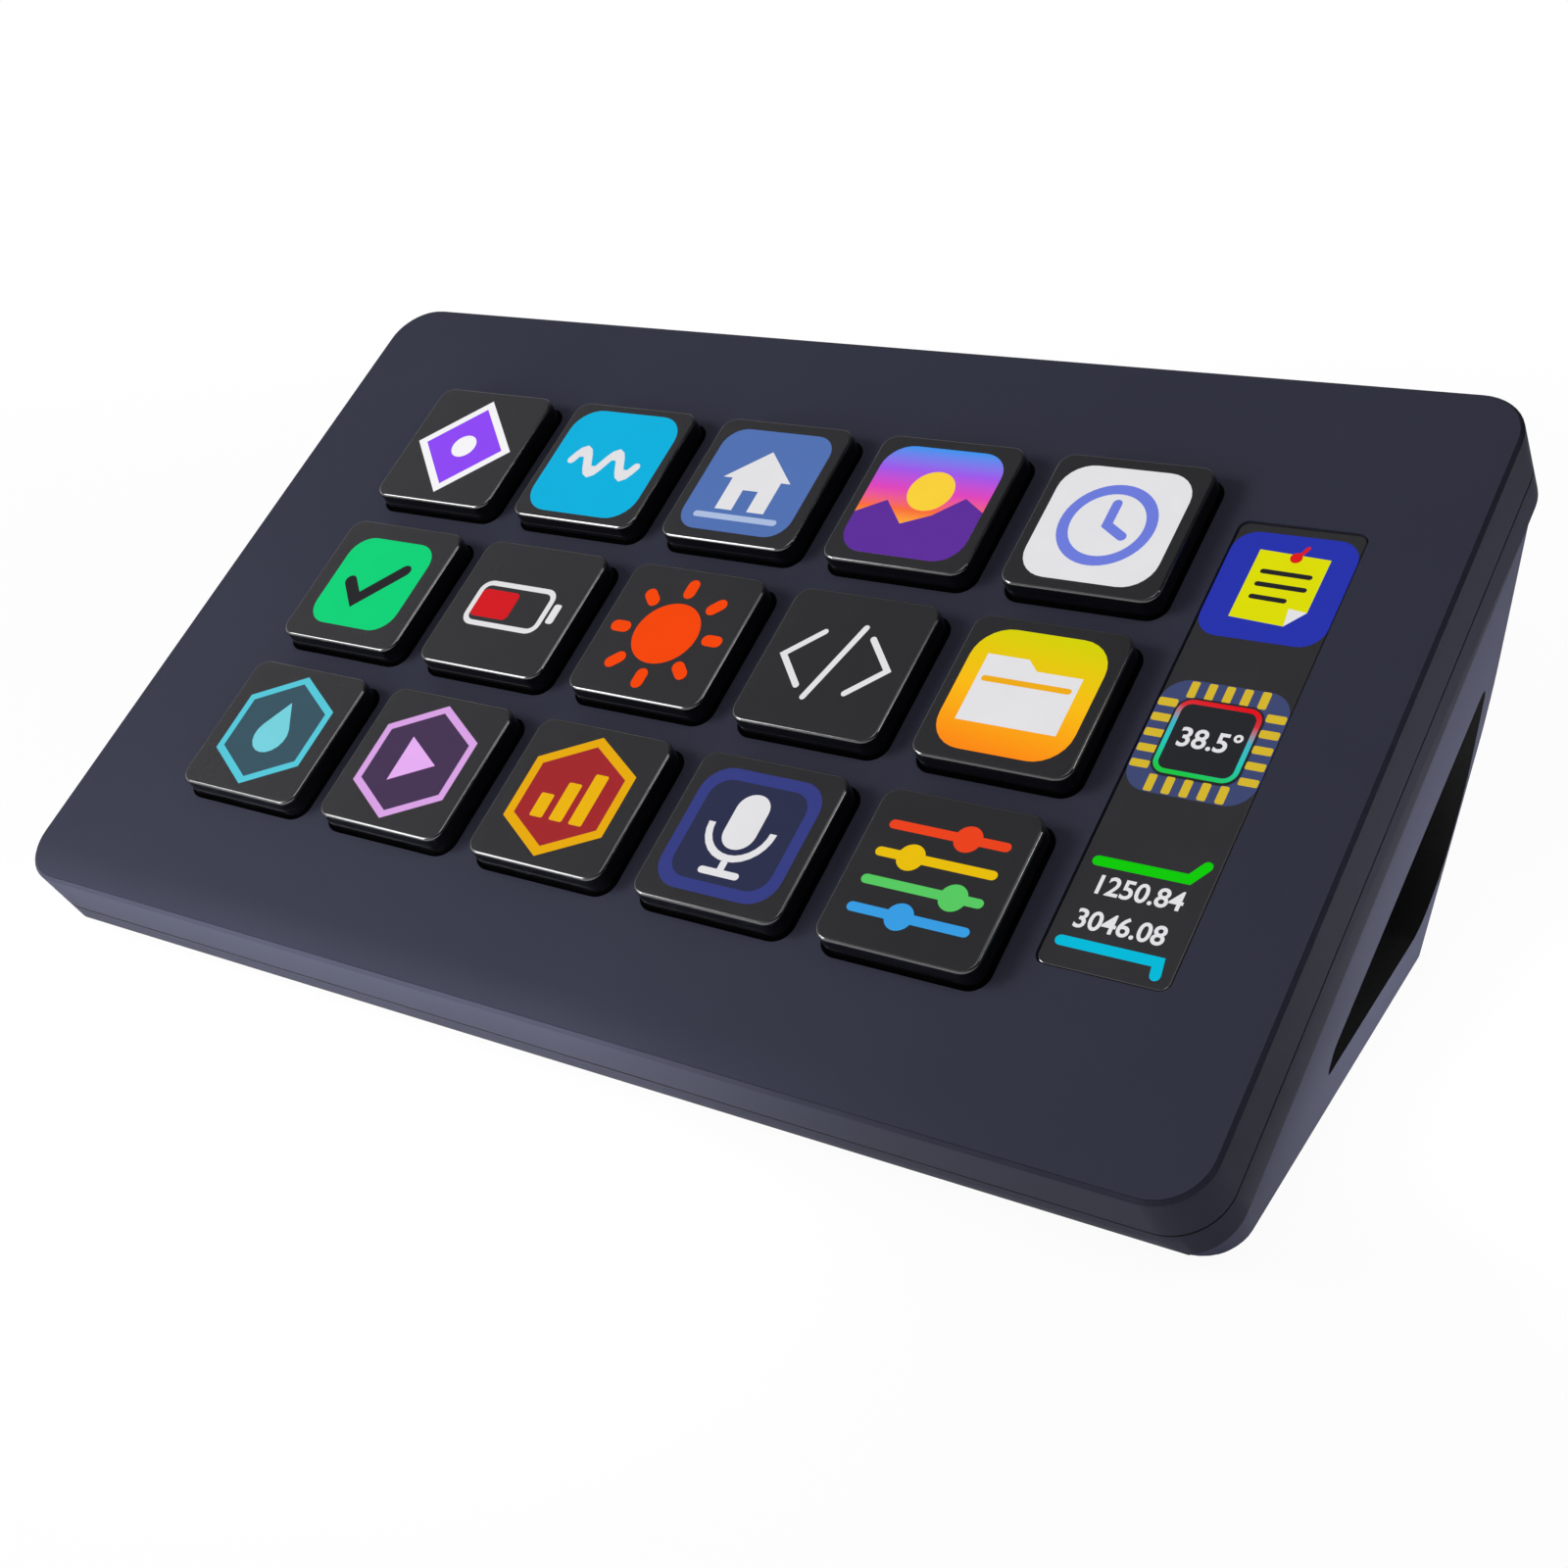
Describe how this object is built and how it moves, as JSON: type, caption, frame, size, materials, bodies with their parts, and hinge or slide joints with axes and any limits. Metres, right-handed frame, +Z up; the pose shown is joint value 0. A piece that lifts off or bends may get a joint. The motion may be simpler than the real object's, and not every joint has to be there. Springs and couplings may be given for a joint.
{
  "type": "display keypad",
  "caption": "Slanted desk keypad with square display keys, a side display strip and a hollow wedge stand.",
  "frame": {"origin": "middle of the footprint, on the surface that the feet stand on", "axes": "+Z up, +X to the user's right, +Y away from the user"},
  "size_m": [0.132, 0.0769, 0.0578],
  "materials": {
    "cover": "satin slate",
    "shell": "satin slate",
    "window": "clear window over black",
    "key_frame": "polished black",
    "key_lens": "clear cap over a picture",
    "silicone": "matte",
    "circuit": "solder mask",
    "panel": "display glass",
    "tray": "rolled",
    "board": "solder mask",
    "chips": "moulded",
    "ribbon": "film",
    "socket": "plated",
    "tongue": "moulded",
    "screws": "plated",
    "feet": "matte"
  },
  "bodies": {
    "housing": {"lower_shell": "shell", "top_cover": "cover", "display_window": "window", "key_membrane": "silicone", "key_circuit": "circuit", "display_panel": "panel", "display_tray": "tray", "main_board": "board", "board_components": "chips", "display_ribbon": "ribbon", "circuit_ribbon": "ribbon", "socket_shell": "socket", "socket_tongue": "tongue", "tray_screws": "screws", "board_screws": "screws", "case_screws": "screws", "foot_front_left": "feet", "foot_front_right": "feet", "foot_rear_left": "feet", "foot_rear_right": "feet"},
    "key_r1c1": {"key_frame_r1c1": "key_frame", "key_lens_r1c1": "key_lens"},
    "key_r1c2": {"key_frame_r1c2": "key_frame", "key_lens_r1c2": "key_lens"},
    "key_r1c3": {"key_frame_r1c3": "key_frame", "key_lens_r1c3": "key_lens"},
    "key_r1c4": {"key_frame_r1c4": "key_frame", "key_lens_r1c4": "key_lens"},
    "key_r1c5": {"key_frame_r1c5": "key_frame", "key_lens_r1c5": "key_lens"},
    "key_r2c1": {"key_frame_r2c1": "key_frame", "key_lens_r2c1": "key_lens"},
    "key_r2c2": {"key_frame_r2c2": "key_frame", "key_lens_r2c2": "key_lens"},
    "key_r2c3": {"key_frame_r2c3": "key_frame", "key_lens_r2c3": "key_lens"},
    "key_r2c4": {"key_frame_r2c4": "key_frame", "key_lens_r2c4": "key_lens"},
    "key_r2c5": {"key_frame_r2c5": "key_frame", "key_lens_r2c5": "key_lens"},
    "key_r3c1": {"key_frame_r3c1": "key_frame", "key_lens_r3c1": "key_lens"},
    "key_r3c2": {"key_frame_r3c2": "key_frame", "key_lens_r3c2": "key_lens"},
    "key_r3c3": {"key_frame_r3c3": "key_frame", "key_lens_r3c3": "key_lens"},
    "key_r3c4": {"key_frame_r3c4": "key_frame", "key_lens_r3c4": "key_lens"},
    "key_r3c5": {"key_frame_r3c5": "key_frame", "key_lens_r3c5": "key_lens"}
  },
  "joints": [
    {"name": "press_r1c1", "type": "slide", "parent": "housing", "child": "key_r1c1", "axis": [0, -0.6157, 0.788], "range_m": [-0.0016, 0], "stiffness_N_per_m": 330, "springref_m": 0.0005, "deforming": ["key_membrane"]},
    {"name": "press_r1c2", "type": "slide", "parent": "housing", "child": "key_r1c2", "axis": [0, -0.6157, 0.788], "range_m": [-0.0016, 0], "stiffness_N_per_m": 330, "springref_m": 0.0005, "deforming": ["key_membrane"]},
    {"name": "press_r1c3", "type": "slide", "parent": "housing", "child": "key_r1c3", "axis": [0, -0.6157, 0.788], "range_m": [-0.0016, 0], "stiffness_N_per_m": 330, "springref_m": 0.0005, "deforming": ["key_membrane"]},
    {"name": "press_r1c4", "type": "slide", "parent": "housing", "child": "key_r1c4", "axis": [0, -0.6157, 0.788], "range_m": [-0.0016, 0], "stiffness_N_per_m": 330, "springref_m": 0.0005, "deforming": ["key_membrane"]},
    {"name": "press_r1c5", "type": "slide", "parent": "housing", "child": "key_r1c5", "axis": [0, -0.6157, 0.788], "range_m": [-0.0016, 0], "stiffness_N_per_m": 330, "springref_m": 0.0005, "deforming": ["key_membrane"]},
    {"name": "press_r2c1", "type": "slide", "parent": "housing", "child": "key_r2c1", "axis": [0, -0.6157, 0.788], "range_m": [-0.0016, 0], "stiffness_N_per_m": 330, "springref_m": 0.0005, "deforming": ["key_membrane"]},
    {"name": "press_r2c2", "type": "slide", "parent": "housing", "child": "key_r2c2", "axis": [0, -0.6157, 0.788], "range_m": [-0.0016, 0], "stiffness_N_per_m": 330, "springref_m": 0.0005, "deforming": ["key_membrane"]},
    {"name": "press_r2c3", "type": "slide", "parent": "housing", "child": "key_r2c3", "axis": [0, -0.6157, 0.788], "range_m": [-0.0016, 0], "stiffness_N_per_m": 330, "springref_m": 0.0005, "deforming": ["key_membrane"]},
    {"name": "press_r2c4", "type": "slide", "parent": "housing", "child": "key_r2c4", "axis": [0, -0.6157, 0.788], "range_m": [-0.0016, 0], "stiffness_N_per_m": 330, "springref_m": 0.0005, "deforming": ["key_membrane"]},
    {"name": "press_r2c5", "type": "slide", "parent": "housing", "child": "key_r2c5", "axis": [0, -0.6157, 0.788], "range_m": [-0.0016, 0], "stiffness_N_per_m": 330, "springref_m": 0.0005, "deforming": ["key_membrane"]},
    {"name": "press_r3c1", "type": "slide", "parent": "housing", "child": "key_r3c1", "axis": [0, -0.6157, 0.788], "range_m": [-0.0016, 0], "stiffness_N_per_m": 330, "springref_m": 0.0005, "deforming": ["key_membrane"]},
    {"name": "press_r3c2", "type": "slide", "parent": "housing", "child": "key_r3c2", "axis": [0, -0.6157, 0.788], "range_m": [-0.0016, 0], "stiffness_N_per_m": 330, "springref_m": 0.0005, "deforming": ["key_membrane"]},
    {"name": "press_r3c3", "type": "slide", "parent": "housing", "child": "key_r3c3", "axis": [0, -0.6157, 0.788], "range_m": [-0.0016, 0], "stiffness_N_per_m": 330, "springref_m": 0.0005, "deforming": ["key_membrane"]},
    {"name": "press_r3c4", "type": "slide", "parent": "housing", "child": "key_r3c4", "axis": [0, -0.6157, 0.788], "range_m": [-0.0016, 0], "stiffness_N_per_m": 330, "springref_m": 0.0005, "deforming": ["key_membrane"]},
    {"name": "press_r3c5", "type": "slide", "parent": "housing", "child": "key_r3c5", "axis": [0, -0.6157, 0.788], "range_m": [-0.0016, 0], "stiffness_N_per_m": 330, "springref_m": 0.0005, "deforming": ["key_membrane"]}
  ]
}
